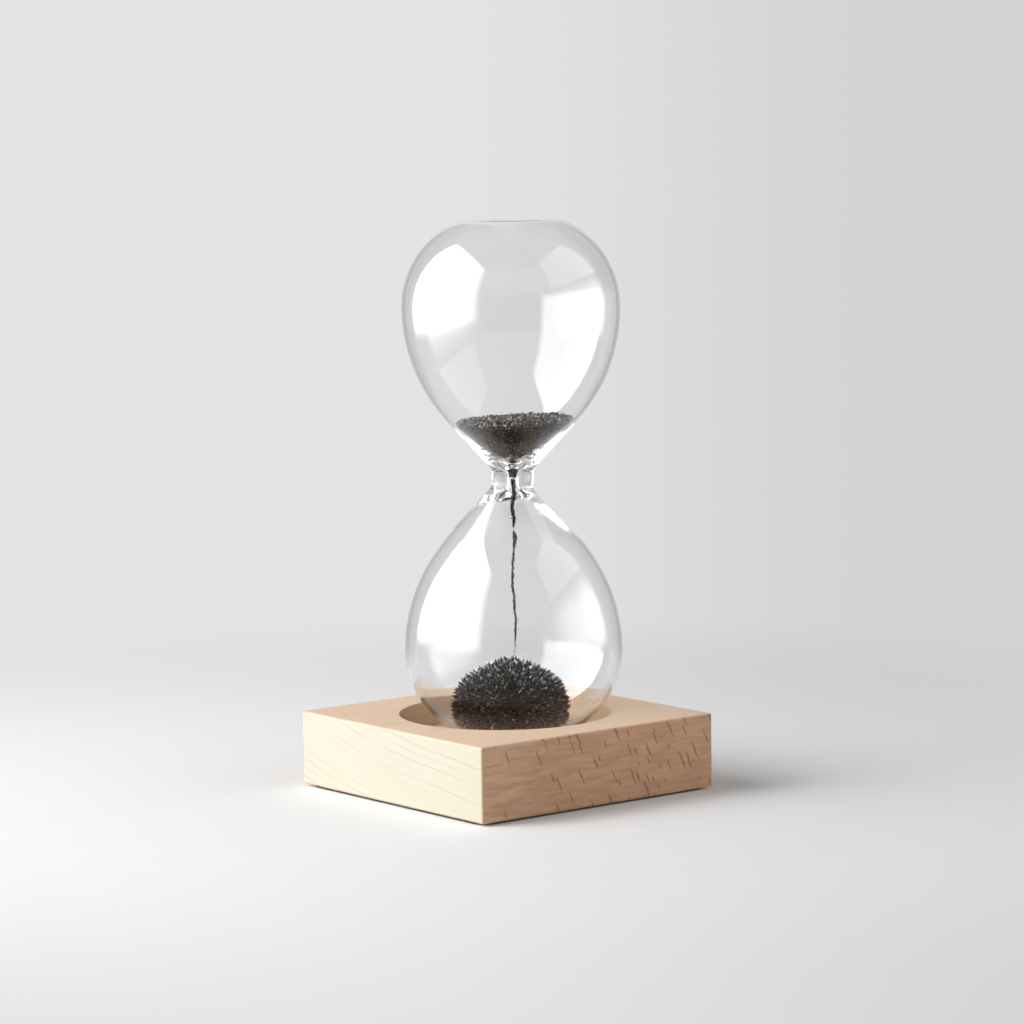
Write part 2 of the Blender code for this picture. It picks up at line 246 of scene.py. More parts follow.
def make_flecks(tree, place):
    """Dark rays of the beech on its long sides: slanting dashes, at most one to a cell, fewer to the left."""
    x, _, z = parts_of(tree, place)
    sine, cosine = math.sin(FLECK_LEAN), math.cos(FLECK_LEAN)
    down = maths(tree, "SUBTRACT", times(tree, x, sine), times(tree, z, cosine))
    across = maths(tree, "ADD", times(tree, x, cosine), times(tree, z, sine))
    wander = noise_at(tree, place, 420.0, 2.0)
    across = maths(tree, "MULTIPLY_ADD", wander, FLECK_WANDER, across)
    cells = vector_of(
        tree, maths(tree, "DIVIDE", across, FLECK_ROOM[0]), maths(tree, "DIVIDE", down, FLECK_ROOM[1])
    )
    inputs = {"Vector": cells, "Scale": 1.0}
    nearest = add(tree, "ShaderNodeTexVoronoi", inputs, voronoi_dimensions="2D").outputs
    apart = parts_of(tree, vector_maths(tree, "SUBTRACT", cells, nearest["Position"]))
    chance = add(tree, "ShaderNodeSeparateColor", {0: nearest["Color"]}).outputs
    half_length = step(tree, chance[0], 0.0, 1.0, *FLECK_HALF_LENGTH)
    half_width = step(tree, chance[1], 0.0, 1.0, *FLECK_HALF_WIDTH)
    along_share = maths(tree, "DIVIDE", times(tree, apart[1], FLECK_ROOM[1]), half_length)
    aside_share = maths(tree, "DIVIDE", times(tree, apart[0], FLECK_ROOM[0]), half_width)
    reach = maths(tree, "ADD", maths(tree, "POWER", along_share, 2.0), maths(tree, "POWER", aside_share, 2.0))
    ragged = maths(tree, "MULTIPLY_ADD", noise_at(tree, place, 1500.0, 2.0), 1.1, reach)
    shape = step(tree, ragged, 2.1, 0.7)
    bare = step(tree, x, -36.0 * MM, -8.0 * MM, *CELLS_LEFT_BARE)
    kept = maths(tree, "GREATER_THAN", chance[2], bare)
    return times(tree, shape, kept)


def make_beech():
    made, tree, shader, place = material("beech_oiled")
    normal = add(tree, "ShaderNodeNewGeometry").outputs["True Normal"]
    x, y, _ = parts_of(tree, place)
    facing = parts_of(tree, vector_maths(tree, "ABSOLUTE", normal))
    spot = parts_of(tree, vector_maths(tree, "ABSOLUTE", place))
    outer = [step(tree, spot[i], OUTER_FACE - 0.3 * MM, OUTER_FACE) for i in (0, 1)]
    faces = [step(tree, facing[i], 0.5, 0.8) for i in (0, 1, 2)]
    end_grain, side_grain = (times(tree, faces[i], outer[i]) for i in (0, 1))
    lying = faces[2]
    steepest = maths(tree, "MAXIMUM", maths(tree, "MAXIMUM", facing[0], facing[1]), facing[2])
    outermost = maths(tree, "MAXIMUM", outer[0], outer[1])
    edge = times(tree, step(tree, steepest, 0.97, 0.88), outermost)

    wander = noise_at(tree, stretched(tree, place, (10.0, 28.0, 28.0)), 1.0, 1.0)
    from_centre = vector_maths(tree, "SUBTRACT", place, RING_CENTRE)
    across = vector_maths(tree, "MULTIPLY", from_centre, (0.0, 1.0, 1.0))
    distance = maths(tree, "MULTIPLY_ADD", wander, 3.0 * MM, vector_maths(tree, "LENGTH", across))
    turns = maths(tree, "DIVIDE", distance, RING_WIDTH)
    number = maths(tree, "FLOOR", turns)
    phase = maths(tree, "SUBTRACT", turns, number)
    weight = add(tree, "ShaderNodeTexWhiteNoise", {"W": number}, noise_dimensions="1D").outputs[0]
    line = times(tree, step(tree, phase, 0.70, 0.95), step(tree, phase, 1.0, 0.955))
    line = times(tree, line, step(tree, weight, 0.25, 1.0, 0.12, 1.0))
    broken = noise_at(tree, stretched(tree, place, (40.0, 70.0, 190.0)), 1.0, 2.0)
    line = times(tree, line, step(tree, broken, 0.36, 0.60, 0.25, 1.0))

    cloud = noise_at(tree, stretched(tree, place, (25.0, 60.0, 60.0)), 1.0, 2.0)
    fibre = noise_at(tree, stretched(tree, place, (150.0, 2200.0, 2200.0)), 1.0, 3.0, 0.6)
    streak = noise_at(tree, stretched(tree, place, (75.0, 500.0, 760.0)), 1.0, 3.0, 0.55)
    pores = noise_at(tree, place, 3600.0, 2.0, 0.6)

    flat = blend(tree, cloud, *FLAT_COLOURS)
    # Painted light: the recess wall is painted paler than the top, for light reaching into the recess
    wall = blend(tree, cloud, *LIT_WALL_COLOURS)
    # Painted light: the ends are a greyer, lit copy of the wood, and it fades towards the front corner
    end = blend(tree, cloud, *LIT_END_COLOURS)
    end = blend(tree, step(tree, y, -12.0 * MM, -40.0 * MM, 0.0, 0.6), end, END_LESS_LIT_NEAR_FRONT)
    # The far end keeps the plain tan of the wood, without the painted light
    end = blend(tree, step(tree, x, 0.0, 20.0 * MM), end, FAR_END)
    # Painted shade: the sides are a darker, redder copy of the wood, with painted light towards the left end
    side = blend(tree, cloud, *DARKENED_SIDE_COLOURS)
    side = blend(tree, step(tree, x, -8.0 * MM, -36.0 * MM, 0.0, 0.6), side, SIDE_LIT_NEAR_LEFT)
    side = blend(tree, step(tree, streak, 0.35, 0.70, 0.0, 0.75), side, SIDE_STREAK)
    colour = blend(tree, lying, wall, flat)
    colour = blend(tree, end_grain, colour, end)
    colour = blend(tree, side_grain, colour, side)
    # Painted shading: the eased edges are painted orange, as the in-between shade of an edge turning from one
    # face to the next
    colour = blend(tree, times(tree, edge, 0.6), colour, EDGE_SHADE_COLOUR)
    strength = maths(tree, "MULTIPLY_ADD", end_grain, 0.34, 0.10)
    colour = blend(tree, times(tree, line, strength), colour, RING_COLOUR)
    grain_tone = step(tree, fibre, 0.3, 0.7, 0.94, 1.04)
    pore_tone = step(tree, pores, 0.3, 0.7, 0.97, 1.02)
    grain_share = rest_of(tree, times(tree, end_grain, 0.7))
    uneven = maths(tree, "SUBTRACT", times(tree, grain_tone, pore_tone), 1.0)
    tone = maths(tree, "MULTIPLY_ADD", uneven, grain_share, 1.0)
    colour = blend(tree, 1.0, colour, grey(tree, tone), "MULTIPLY")
    flecks = times(tree, make_flecks(tree, place), side_grain)
    colour = blend(tree, times(tree, flecks, 0.74), colour, FLECK_COLOUR)

    roughness = step(tree, cloud, 0.2, 0.8, 0.50, 0.62)
    set_inputs(shader, tree, Base_Color=colour, Roughness=roughness, Specular_IOR_Level=0.15)
    relief = maths(tree, "ADD", times(tree, fibre, 0.6), times(tree, pores, 0.4))
    relief = times(tree, relief, grain_share)
    relief = maths(tree, "SUBTRACT", relief, times(tree, line, 0.5))
    bump(tree, shader, relief, 0.25, 0.05 * MM)
    return made


GLASS_COLOUR = (0.950, 0.957, 0.955)
GLASS_GLOSS = (0.45, 0.45, 0.45)
GLASS_IOR = 1.47


def make_glass_material():
    """Clear glass with the long soft waves of a blown wall, which fade out towards the thick neck."""
    made, tree, shader, place = material("blown_glass_clear")
    set_inputs(shader, tree, Base_Color=GLASS_COLOUR, Roughness=0.0, IOR=GLASS_IOR)
    set_inputs(shader, tree, Transmission_Weight=1.0, Specular_Tint=GLASS_GLOSS)
    waves = noise_at(tree, stretched(tree, place, (60.0, 60.0, 35.0)), 1.0, 1.0)
    height = parts_of(tree, place)[2]
    from_neck = maths(tree, "ABSOLUTE", maths(tree, "SUBTRACT", height, NECK.z))
    waves = times(tree, waves, step(tree, from_neck, 12.0 * MM, 26.0 * MM))
    bump(tree, shader, waves, 0.05, 0.5 * MM)
    return made


NEEDLE_COLOURS = ((0.020, 0.021, 0.022), (0.560, 0.605, 0.640))
FOOT_REFLECTION_COLOURS = ((0.004, 0.003, 0.002), (0.340, 0.195, 0.100))
GRAIN_COLOURS = ((0.010, 0.010, 0.009), (0.450, 0.445, 0.430))
FALLING_COLOURS = ((0.012, 0.011, 0.011), (0.050, 0.050, 0.050))
VALLEY_SHADE_COLOUR = (0.004, 0.003, 0.002)


def make_iron(name, colours, roughness, metallic, spread, paints_valley_shade=True, paints_wood_reflection=False):
    """Iron filings, each in its own tone. With paints_valley_shade they get painted shade, darker where the
    tip attribute is low, and with paints_wood_reflection a painted reflection of the wood, browner towards
    the foot of the mound."""
    made, tree, shader, place = material(name)
    shade = add(tree, "ShaderNodeNewGeometry").outputs["Random Per Island"]
    fine = noise_at(tree, place, 2600.0, 3.0, 0.6)
    share = maths(tree, "MULTIPLY_ADD", fine, 0.3, maths(tree, "POWER", shade, spread))
    colour = blend(tree, maths(tree, "MINIMUM", share, 1.0), *colours)
    # Painted reflection: the foot of the mound is painted browner, for the wood that the lower needles
    # reflect
    if paints_wood_reflection:
        height = parts_of(tree, place)[2]
        low = step(tree, height, MOUND_LOW.z + 18.0 * MM, MOUND_LOW.z + 8.0 * MM, 0.0, 0.8)
        brown = blend(tree, maths(tree, "POWER", share, 1.7), *FOOT_REFLECTION_COLOURS)
        colour = blend(tree, low, colour, brown)
    # Painted shade: darker where the tip attribute is low, in the valleys between the filings
    if paints_valley_shade:
        tip = add(tree, "ShaderNodeAttribute", attribute_name="tip").outputs["Fac"]
        colour = blend(tree, step(tree, tip, 0.95, 0.35, 0.0, 0.96), colour, VALLEY_SHADE_COLOUR)
    rough = step(tree, fine, 0.3, 0.7, *roughness)
    set_inputs(shader, tree, Base_Color=colour, Roughness=rough, Metallic=metallic, Specular_IOR_Level=0.12)
    bump(tree, shader, fine, 0.5, 0.10 * MM)
    return made


RUBBER_COLOURS = ((0.030, 0.028, 0.027), (0.060, 0.055, 0.050))
NICKEL_COLOURS = ((0.56, 0.55, 0.53), (0.68, 0.67, 0.65))


def make_rubber():
    made, tree, shader, place = material("foot_rubber")
    grain = noise_at(tree, place, 2200.0, 3.0, 0.6)
    blotch = noise_at(tree, place, 90.0, 2.0)
    colour = blend(tree, blotch, *RUBBER_COLOURS)
    set_inputs(shader, tree, Base_Color=colour, Roughness=step(tree, grain, 0.3, 0.7, 0.75, 0.95))
    bump(tree, shader, grain, 0.5, 0.08 * MM)
    return made


def make_nickel():
    made, tree, shader, place = material("magnet_nickel")
    scuff = noise_at(tree, stretched(tree, place, (2500.0, 160.0, 160.0), (0.0, 0.0, 0.6)), 1.0, 3.0, 0.6)
    blotch = noise_at(tree, place, 160.0, 2.0)
    colour = blend(tree, blotch, *NICKEL_COLOURS)
    rough = step(tree, scuff, 0.3, 0.7, 0.16, 0.34)
    set_inputs(shader, tree, Base_Color=colour, Metallic=1.0, Roughness=rough)
    bump(tree, shader, scuff, 0.15, 0.03 * MM)
    return made


def new_piece(name, mesh, paint=None):
    piece = bpy.data.objects.new(name, mesh)
    bpy.context.scene.collection.objects.link(piece)
    if paint:
        mesh.materials.append(paint)
    return piece


def mesh_from(name, vertices, faces):
    mesh = bpy.data.meshes.new(name)
    mesh.from_pydata(vertices, [], faces)
    mesh.update()
    return mesh


def set_tips(mesh, tips):
    """Marks how far each point stands out of its heap, from 0 to 1, which the iron materials use to paint
    shade where it is low.
    """
    mesh.attributes.new("tip", "FLOAT", "POINT").data.foreach_set("value", tips)


def around(radius, angle, height=0.0):
    """The point at a distance from +Z and at an angle about it."""
    return Vector((radius * math.cos(angle), radius * math.sin(angle), height))


def arc(centre_radius, centre_height, radius, start, end, steps):
    """Points (radius, height) along a circle, both ends included."""
    angles = [start + (end - start) * i / steps for i in range(steps + 1)]
    return [(centre_radius + radius * math.cos(a), centre_height + radius * math.sin(a)) for a in angles]


def body_outline(inset):
    """Bulb from the top of the neck's cone over its widest ring to the axis, moved inwards by inset."""
    rise = (WIDEST_HEIGHT - NECK_HALF_LENGTH) * math.sin(CONE_ANGLE)
    reach = (BULB_RADIUS - NECK_RADIUS) * math.cos(CONE_ANGLE)
    flank = (rise - reach) / (1 - math.cos(CONE_ANGLE))
    points = arc(BULB_RADIUS - flank, WIDEST_HEIGHT, flank - inset, -CONE_ANGLE, 0.0, FLANK_STEPS)
    rise, reach = BULB_LENGTH - WIDEST_HEIGHT, BULB_RADIUS - END_RADIUS
    shoulder = (rise**2 + reach**2) / (2 * reach)
    middle = BULB_RADIUS - shoulder
    corner_height = BULB_LENGTH - END_CORNER
    corner_rise = corner_height - WIDEST_HEIGHT
    corner_middle = middle + math.sqrt((shoulder - END_CORNER) ** 2 - corner_rise**2)
    turn = math.atan2(corner_rise, corner_middle - middle)
    points += arc(middle, WIDEST_HEIGHT, shoulder - inset, 0.0, turn, SHOULDER_STEPS)[1:]
    points += arc(corner_middle, corner_height, END_CORNER - inset, turn, math.pi / 2, CORNER_STEPS)[1:]
    for i in range(1, DISH_STEPS + 1):
        share = 1 - i / DISH_STEPS
        dish = END_DISH * (1 + math.cos(math.pi * share)) / 2
        points.append((corner_middle * share, BULB_LENGTH - inset - dish))
    return points


def outer_outline():
    """Outside of a bulb: half the neck, a rounded inner corner, then the body."""
    lift = NECK_HALF_LENGTH - NECK_FILLET * math.tan(CONE_ANGLE / 2)
    fillet = arc(NECK_RADIUS + NECK_FILLET, lift, NECK_FILLET, math.pi, math.pi - CONE_ANGLE, FILLET_STEPS)
    return [(NECK_RADIUS, 0.0), (NECK_RADIUS, lift / 2)] + fillet + body_outline(0.0)


def along(point, angle, distance):
    """The point a distance away, in a direction that leans outwards from +Z by an angle."""
    return (point[0] + distance * math.sin(angle), point[1] + distance * math.cos(angle))


def bezier(corners, steps):
    """Points along a cubic curve, without its end."""
    points = []
    for i in range(steps):
        t = i / steps
        weights = ((1 - t) ** 3, 3 * t * (1 - t) ** 2, 3 * t**2 * (1 - t), t**3)
        points.append(tuple(sum(w * c[k] for w, c in zip(weights, corners)) for k in (0, 1)))
    return points


def inner_outline():
    """Inside of a bulb: the bore opens into a cup in the thick neck, then into the wall's inner side."""
    body = body_outline(WALL)
    bore_end = (BORE_RADIUS, BORE_HALF_LENGTH)
    cup = (CUP_RADIUS, CUP_HEIGHT)
    to_cup = (bore_end, along(bore_end, 0.0, BORE_HANDLE), along(cup, CUP_ANGLE, -CUP_HANDLE), cup)
    to_wall = (cup, along(cup, CUP_ANGLE, CUP_HANDLE), along(body[0], CONE_ANGLE, -CONE_HANDLE), body[0])
    return [(BORE_RADIUS, 0.0)] + bezier(to_cup, BORE_STEPS) + bezier(to_wall, CUP_STEPS) + body


def radius_at(outline, height):
    """Radius of an outline at a height, and that of its last point beyond its ends."""
    for (radius, low), (next_radius, high) in zip(outline, outline[1:]):
        if low <= height <= high and high > low:
            return radius + (next_radius - radius) * (height - low) / (high - low)
    return outline[-1][0]


def turned_faces(rings, segments):
    """Faces between rings of equal size."""
    faces = []
    for r in range(rings - 1):
        a, b = r * segments, (r + 1) * segments
        for s in range(segments):
            n = (s + 1) % segments
            faces.append((a + s, a + n, b + n, b + s))
    return faces


def heap_faces(rings, segments):
    """Faces of a closed heap, whose vertices are rings from its foot up and then one for its top."""
    top = rings * segments
    last = top - segments
    faces = turned_faces(rings, segments)
    faces += [(top, last + s, last + (s + 1) % segments) for s in range(segments)]
    faces.append(tuple(range(segments))[::-1])
    return faces


def turned_shell(profile, segments, shape, inward):
    """Vertices and faces of a profile turned about +Z from pole to pole; shape places each point."""
    vertices = []
    ring_points = profile[1:-1]
    for radius, height in ring_points:
        for s in range(segments):
            angle = TAU * s / segments
            vertices.append(shape(radius, height, angle))
    faces = turned_faces(len(ring_points), segments)
    bottom, top = len(vertices), len(vertices) + 1
    vertices += [shape(profile[0][0], profile[0][1], 0.0), shape(profile[-1][0], profile[-1][1], 0.0)]
    last = (len(ring_points) - 1) * segments
    for s in range(segments):
        n = (s + 1) % segments
        faces.append((bottom, n, s))
        faces.append((top, last + s, last + n))
    if inward:
        faces = [face[::-1] for face in faces]
    return vertices, faces


bulb_outer = outer_outline()
bulb_inner = inner_outline()

# The glass was blown by hand: its lower bulb stands a little to the photograph's left of the upper one,
# and most of all just under the neck. Depths count downwards from the neck.
LEAN_DIRECTION = CAMERA_AZIMUTH + math.pi
LEAN_ALL = 0.4 * MM
LEAN_NECK = 0.8 * MM


def ramp(value, low, high):
    """Smooth rise from 0 to 1 while value goes from low to high."""
    t = min(1.0, max(0.0, (value - low) / (high - low)))
    return t * t * (3 - 2 * t)


def lean_at(depth):
    """How far the lower bulb's outline is shifted at a depth under the neck."""
    start = ramp(depth, 0.2 * MM, 6.5 * MM)
    return start * (LEAN_ALL + LEAN_NECK * (1 - ramp(depth, 7.0 * MM, 20.0 * MM)))


def glass_point(radius, height, angle, inside):
    """Place of a point of the glass, with the lean and the small unevenness of a blown wall. The bore stays
    upright."""
    share = ramp(radius, 3.0 * MM, 8.0 * MM) if inside else 1.0
    shift = share * lean_at(-height)
    spot = around(radius, angle, height)
    waver = 0.03 * MM * noise.noise(spot * 40.0) * ramp(abs(height), 14.0 * MM, 26.0 * MM)
    x = math.cos(angle) * (radius + waver) + math.cos(LEAN_DIRECTION) * shift
    y = math.sin(angle) * (radius + waver) + math.sin(LEAN_DIRECTION) * shift
    return NECK + Vector((x, y, height))


def both_bulbs(outline):
    """The upper bulb's outline with the lower bulb's before it, from pole to pole."""
    return [(radius, -height) for radius, height in outline[::-1]] + outline[1:]


def make_glass(paint):
    """Both bulbs as one blown glass: a closed surface outside and one inside, with the wall between them."""
    outside = turned_shell(
        both_bulbs(bulb_outer), GLASS_SEGMENTS, lambda r, h, a: glass_point(r, h, a, False), False
    )
    inside = turned_shell(
        both_bulbs(bulb_inner), GLASS_SEGMENTS, lambda r, h, a: glass_point(r, h, a, True), True
    )
    shift = len(outside[0])
    vertices = outside[0] + inside[0]
    faces = outside[1] + [tuple(i + shift for i in face) for face in inside[1]]
    mesh = mesh_from("blown_glass", vertices, faces)
    mesh.shade_smooth()
    piece = new_piece("blown_glass", mesh, paint)
    piece.visible_shadow = False
    piece.visible_diffuse = False
    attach(piece, "hourglass")
    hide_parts("upper_bulb", "lower_bulb")


def make_block(paint):
    """Wooden block with eased edges, the recess for the glass and the pocket of the magnet."""
    shape = bmesh.new()
    bmesh.ops.create_cube(shape, size=1.0)
    bmesh.ops.scale(shape, vec=BASE_HIGH - BASE_LOW, verts=shape.verts)
    bmesh.ops.translate(shape, vec=(BASE_LOW + BASE_HIGH) / 2, verts=shape.verts)
    bmesh.ops.bevel(
        shape, geom=shape.edges[:], offset=EDGE_EASE, segments=EDGE_STEPS, profile=0.5, affect="EDGES"
    )
    mesh = bpy.data.meshes.new("beech_block")
    shape.to_mesh(mesh)
    shape.free()
    block = new_piece("beech_block", mesh, paint)

    floor = BASE_HIGH.z - RECESS_DEPTH
    pocket = (MAGNET_HIGH.x - MAGNET_LOW.x) / 2 + SEAT_GAP
    pocket_floor = MAGNET_LOW.z - SEAT_GAP
    above = BASE_HIGH.z + RECESS_DEPTH
    rim = arc(RECESS_RADIUS + RIM_EASE, BASE_HIGH.z - RIM_EASE, RIM_EASE, math.pi / 2, math.pi, RIM_STEPS)
    foot = arc(RECESS_RADIUS - RIM_EASE, floor + RIM_EASE, RIM_EASE, 0.0, -math.pi / 2, CORNER_EASE_STEPS)
    profile = [(0.0, above), (RECESS_RADIUS + RIM_EASE, above)] + rim + foot
    profile += [(pocket, floor), (pocket, pocket_floor), (0.0, pocket_floor)]
    vertices, faces = turned_shell(profile[::-1], RECESS_SEGMENTS, lambda r, h, a: around(r, a, h), False)
    cutter = new_piece("recess_cutter", mesh_from("recess_cutter", vertices, faces))
    cut = block.modifiers.new("Recess", "BOOLEAN")
    cut.operation = "DIFFERENCE"
    cut.solver = "EXACT"
    cut.object = cutter
    bpy.context.view_layer.update()
    evaluated = block.evaluated_get(bpy.context.evaluated_depsgraph_get())
    finished = bpy.data.meshes.new_from_object(evaluated)
    block.modifiers.clear()
    block.data = finished
    bpy.data.objects.remove(cutter, do_unlink=True)
    finished.shade_smooth()
    finished.set_sharp_from_angle(angle=SHARP_ANGLE)
    even = block.modifiers.new("Even shading", "WEIGHTED_NORMAL")
    even.keep_sharp = True
    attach(block, "base")
    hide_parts("wooden_base")


ASKEW = Vector((0.3, 0.5, 0.8))
GRAIN_POINTS = 6


def add_filing(vertices, faces, foot, way, length, width, chance, bend=0.25, sides=3):
    """One filing: a thin bent splinter with a sharp tip, standing at foot and pointing along way."""
    way = way.normalized()
    aside = way.cross(ASKEW).normalized()
    across = way.cross(aside)
    turn = chance.uniform(0.0, TAU)
    drift = (aside * chance.uniform(-1, 1) + across * chance.uniform(-1, 1)) * bend * length
    start = len(vertices)
    flatness = chance.uniform(0.45, 1.0)
    for share, thick, pull in ((0.0, 1.0, 0.0), (0.55, 0.9, 0.3)):
        centre = foot + way * length * share + drift * pull
        for k in range(sides):
            angle = turn + TAU * k / sides
            spread = aside * math.cos(angle) + across * math.sin(angle) * flatness
            vertices.append(centre + spread * width / 2 * thick)
    vertices.append(foot + way * length + drift)
    for k in range(sides):
        n = (k + 1) % sides
        faces.append((start + k, start + n, start + sides + n, start + sides + k))
        faces.append((start + sides + k, start + sides + n, start + 2 * sides))
    faces.append(tuple(start + k for k in range(sides))[::-1])


def add_grain(vertices, faces, centre, size, chance):
    """One grain: a lopsided octahedron about its centre, with GRAIN_POINTS vertices."""
    way = Vector([chance.gauss(0.0, 1.0) for _ in range(3)]).normalized()
    aside = way.orthogonal().normalized()
    across = way.cross(aside)
    start = len(vertices)
    for axis in (way, aside, -way, -aside, across, -across):
        vertices.append(centre + axis * size * chance.uniform(0.7, 1.15))
    for k in range(4):
        n = (k + 1) % 4
        faces.append((start + k, start + n, start + 4))
        faces.append((start + n, start + k, start + 5))


# The heap leans with the bulb it lies in. Its radius and height are those of its needles' tips.
MOUND_SHIFT = around(1.0, LEAN_DIRECTION) * 0.4 * MM
MOUND_CENTRE = MOUND_SHIFT + Vector((
    (MOUND_LOW.x + MOUND_HIGH.x) / 2, (MOUND_LOW.y + MOUND_HIGH.y) / 2, MOUND_LOW.z
))
MOUND_RADIUS = 16.8 * MM
MOUND_HEIGHT = MOUND_HIGH.z - MOUND_LOW.z
NEEDLE = 1.7 * MM
NEEDLE_ROOT = 0.5 * MM
NEEDLE_SPACING = 1.10 * MM
NEEDLE_LENGTHS = (0.45, 1.30)
NEEDLE_WIDTH_MM = (0.80, 1.15)
STRAY_WIDTH_MM = (0.12, 0.22)
STRAY_SHARE = 0.35
SHORTEST_NEEDLE = 0.6 * MM
GLASS_CLEARANCE = 0.15 * MM
FLOOR_CLEARANCE = 0.1 * MM
FIELD_DEPTH = 6.0 * MM
# Outline of the dome: how sharply its top turns into its side, how full it is, and how its foot is drawn in
DOME_TURN = 4.2
DOME_FULLNESS = 0.93
FOOT_DRAWN_IN = 0.20
FOOT_SHORTNESS = 12
DOME_SEGMENTS, DOME_RINGS = 64, 24


def dome_point(rise, angle, radius, height):
    """A point of the dome, at a share of its height and an angle about its axis."""
    out = radius * max(0.0, 1 - rise**DOME_TURN) ** DOME_FULLNESS
    return around(out * (1 - FOOT_DRAWN_IN * (1 - rise) ** FOOT_SHORTNESS), angle, height * rise)


def dome_normal(rise, angle, radius, height):
    """Way out of the dome's surface, from two points close by."""
    nudge = 0.004
    low, high = max(0.0, rise - nudge), min(1.0, rise + nudge)
    climb = dome_point(high, angle, radius, height) - dome_point(low, angle, radius, height)
    onwards = Vector((-math.sin(angle), math.cos(angle), 0.0))
    return onwards.cross(climb).normalized()


def field_way(spot):
    """Way the magnet's field lines run at a spot of the mound, so the way its filings point."""
    out = math.hypot(spot.x, spot.y)
    lift = spot.z + FIELD_DEPTH
    tilt = math.atan2(out, lift)
    tilt += math.atan2(math.sin(tilt), 2 * math.cos(tilt))
    side = Vector((spot.x, spot.y, 0.0)) / out if out > 1e-6 else Vector((0.0, 0.0, 0.0))
    return side * math.sin(tilt) + Vector((0.0, 0.0, math.cos(tilt)))


def dome_spots(radius, height, spacing, chance):
    """Rise and angle of evenly spread spots on the dome."""
    rows = 200
    areas = []
    for i in range(rows):
        rise = (i + 0.5) / rows
        here = dome_point(rise, 0.0, radius, height)
        ahead = dome_point(min(1.0, rise + 1 / rows), 0.0, radius, height)
        behind = dome_point(max(0.0, rise - 1 / rows), 0.0, radius, height)
        areas.append(TAU * here.x * (ahead - behind).length / 2)
    total = sum(areas)
    count = int(total / spacing**2)
    golden = math.pi * (3 - math.sqrt(5))
    reached, row = 0.0, 0
    for i in range(count):
        wanted = total * (i + 0.5) / count
        while row < rows - 1 and reached + areas[row] < wanted:
            reached += areas[row]
            row += 1
        rise = (row + (wanted - reached) / areas[row]) / rows + chance.uniform(-0.008, 0.008)
        yield min(0.999, max(0.004, rise)), golden * i + chance.uniform(-0.02, 0.02)


def fits_bulb(spot):
    """Whether a spot of the mound lies inside the lower bulb's glass."""
    place = MOUND_CENTRE + spot - NECK
    shift = lean_at(-place.z)
    out = math.hypot(place.x - math.cos(LEAN_DIRECTION) * shift, place.y - math.sin(LEAN_DIRECTION) * shift)
    return out < radius_at(bulb_inner, -place.z) - GLASS_CLEARANCE


def make_mound(paint):
    """Filings on the lower bulb's floor, drawn up into a dome of needles over the magnet."""
    chance = random.Random(11)
    radius, height = MOUND_RADIUS - NEEDLE, MOUND_HEIGHT - NEEDLE
    vertices = []
    for r in range(DOME_RINGS):
        rise = math.sin(math.pi / 2 * r / DOME_RINGS)
        for s in range(DOME_SEGMENTS):
            vertices.append(MOUND_CENTRE + dome_point(rise, TAU * s / DOME_SEGMENTS, radius, height))
    vertices.append(MOUND_CENTRE + Vector((0.0, 0.0, height)))
    faces = heap_faces(DOME_RINGS, DOME_SEGMENTS)
    # Painted shade: the dome under the needles is painted in nearly full shade
    tips = [0.0] * len(vertices)

    for rise, angle in dome_spots(radius, height, NEEDLE_SPACING, chance):
        spot = dome_point(rise, angle, radius, height)
        away = dome_normal(rise, angle, radius, height)
        way = away * 0.5 + field_way(spot) * 0.5 + Vector([chance.gauss(0.0, 0.17) for _ in range(3)])
        if rise < 0.12:
            way.z = max(way.z, -0.25)
        way.normalize()
        length = NEEDLE_ROOT + NEEDLE * chance.uniform(*NEEDLE_LENGTHS)
        foot = spot - away * NEEDLE_ROOT
        while not fits_bulb(foot + way * length) and length > SHORTEST_NEEDLE:
            length *= 0.85
        lowest = foot.z + way.z * length
        if lowest < FLOOR_CLEARANCE:
            way.z += (FLOOR_CLEARANCE - lowest) / length
        thick = chance.uniform(*NEEDLE_WIDTH_MM) * MM
        add_filing(vertices, faces, MOUND_CENTRE + foot, way, length, thick, chance, 0.12, 4)
        # Painted shade: each needle is painted darker towards its foot
        tips += [0.0] * 4 + [0.5] * 4 + [1.0]
        if chance.random() < STRAY_SHARE and foot.z > 0.5 * MM:
            stray = way + Vector([chance.gauss(0.0, 0.5) for _ in range(3)])
            thin = chance.uniform(*STRAY_WIDTH_MM) * MM
            add_filing(vertices, faces, MOUND_CENTRE + spot, stray, length * 0.6, thin, chance, 0.2, 3)
            tips += [0.4] * 3 + [0.7] * 3 + [1.0]
    mesh = mesh_from("needle_mound", vertices, faces)
    set_tips(mesh, tips)
    piece = new_piece("needle_mound", mesh, paint)
    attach(piece, "hourglass")
    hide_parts("filings_mound")


RESERVE_DEPTH = 15.8 * MM
RESERVE_TILT = math.radians(3.0)
RESERVE_HEAP = 0.5 * MM
RESERVE_SKIN = 0.16 * MM
CORE_SEGMENTS = 96
CORE_HEIGHTS = [(0.6 + 0.75 * i) * MM for i in range(19)]
CORE_TOP_RINGS = 16
# Painted shade: the core's low tip value paints it dark, as the shade under the loose grains
CORE_SHADE_TIP = 0.45
SIDE_GRAINS = 5200
SIDE_GRAIN = (0.14 * MM, 0.24 * MM)
TOP_GRAINS = 1800
TOP_GRAIN = (0.30 * MM, 0.52 * MM)
# Painted shade: top grains that lie lower in the surface are painted darker
TOP_TIP, TOP_TIP_RANGE = 0.50, 0.44


def reserve_top(x, y):
    """Height of the upper filings' surface above the neck."""
    out = math.hypot(x, y)
    lean = x * math.cos(CAMERA_AZIMUTH) + y * math.sin(CAMERA_AZIMUTH)
    heap = RESERVE_HEAP * (1 - (out / (16 * MM)) ** 2)
    rough = noise.noise(Vector((x, y, 0.0)) * 260.0) * 0.45
    return RESERVE_DEPTH + math.tan(RESERVE_TILT) * lean + heap + rough * MM


